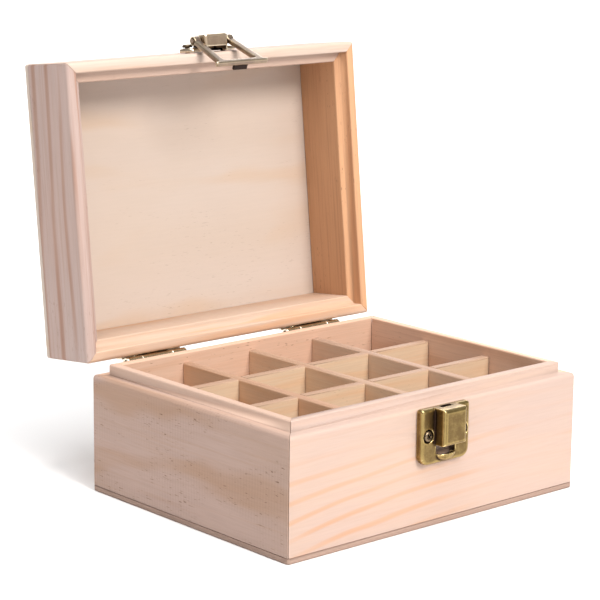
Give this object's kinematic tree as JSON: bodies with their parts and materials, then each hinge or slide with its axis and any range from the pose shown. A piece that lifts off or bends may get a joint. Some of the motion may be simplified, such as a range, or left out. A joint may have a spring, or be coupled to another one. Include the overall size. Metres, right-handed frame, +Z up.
{
  "type": "essential oil storage box",
  "caption": "Small wooden case with a hinged lid, divided into square cells for essential oil bottles and shut by a brass loop latch on a hooded catch.",
  "frame": {"origin": "centre of the flat underside the box stands on", "axes": "+X along the front to the right, +Y from the front to the hinges, +Z up; lid open"},
  "size_m": [0.155, 0.1756, 0.181],
  "materials": {
    "pine": "raw, fine sanded",
    "panel": "raw, fine sanded",
    "brass": "antique plated",
    "screw": "antique plated"
  },
  "bodies": {
    "box_base": {"base_wall_front": "pine", "base_wall_right": "pine", "base_wall_back": "pine", "base_wall_left": "pine", "bottom_panel": "panel", "long_divider_1": "pine", "long_divider_2": "pine", "cross_divider_1": "pine", "cross_divider_2": "pine", "cross_divider_3": "pine", "hinge_base_leaf_left": "brass", "hinge_pin_left": "brass", "hinge_base_screw_left_1": "screw", "hinge_base_screw_left_2": "screw", "hinge_base_leaf_right": "brass", "hinge_pin_right": "brass", "hinge_base_screw_right_1": "screw", "hinge_base_screw_right_2": "screw", "catch_plate": "brass", "catch_screw_1": "screw", "catch_screw_2": "screw"},
    "box_lid": {"lid_wall_front": "pine", "lid_wall_right": "pine", "lid_wall_back": "pine", "lid_wall_left": "pine", "lid_panel": "panel", "hinge_lid_leaf_left": "brass", "hinge_lid_screw_left_1": "screw", "hinge_lid_screw_left_2": "screw", "hinge_lid_leaf_right": "brass", "hinge_lid_screw_right_1": "screw", "hinge_lid_screw_right_2": "screw", "latch_plate": "brass", "latch_screw_1": "screw", "latch_screw_2": "screw"},
    "loop_pin": {"latch_pin": "brass"},
    "loop": {"latch_loop": "brass"}
  },
  "joints": [
    {"name": "lid_hinge", "type": "hinge", "parent": "box_base", "child": "box_lid", "pos_m": [0, 0.0635, 0.0499], "axis": [1, 0, 0], "range_deg": [0, 96.1]},
    {"name": "loop_lift", "type": "hinge", "parent": "box_lid", "child": "loop_pin", "pos_m": [0, 0.08021, 0.17805], "axis": [-1, 0, 0], "range_deg": [0, 48.1]},
    {"name": "loop_swing", "type": "hinge", "parent": "loop_pin", "child": "loop", "pos_m": [0, 0.08021, 0.17805], "axis": [-1, 0, 0], "range_deg": [-19, 125]}
  ],
  "couplings": [
    {"joint": "loop_lift", "follows": "lid_hinge", "ratio": 0.5}
  ]
}
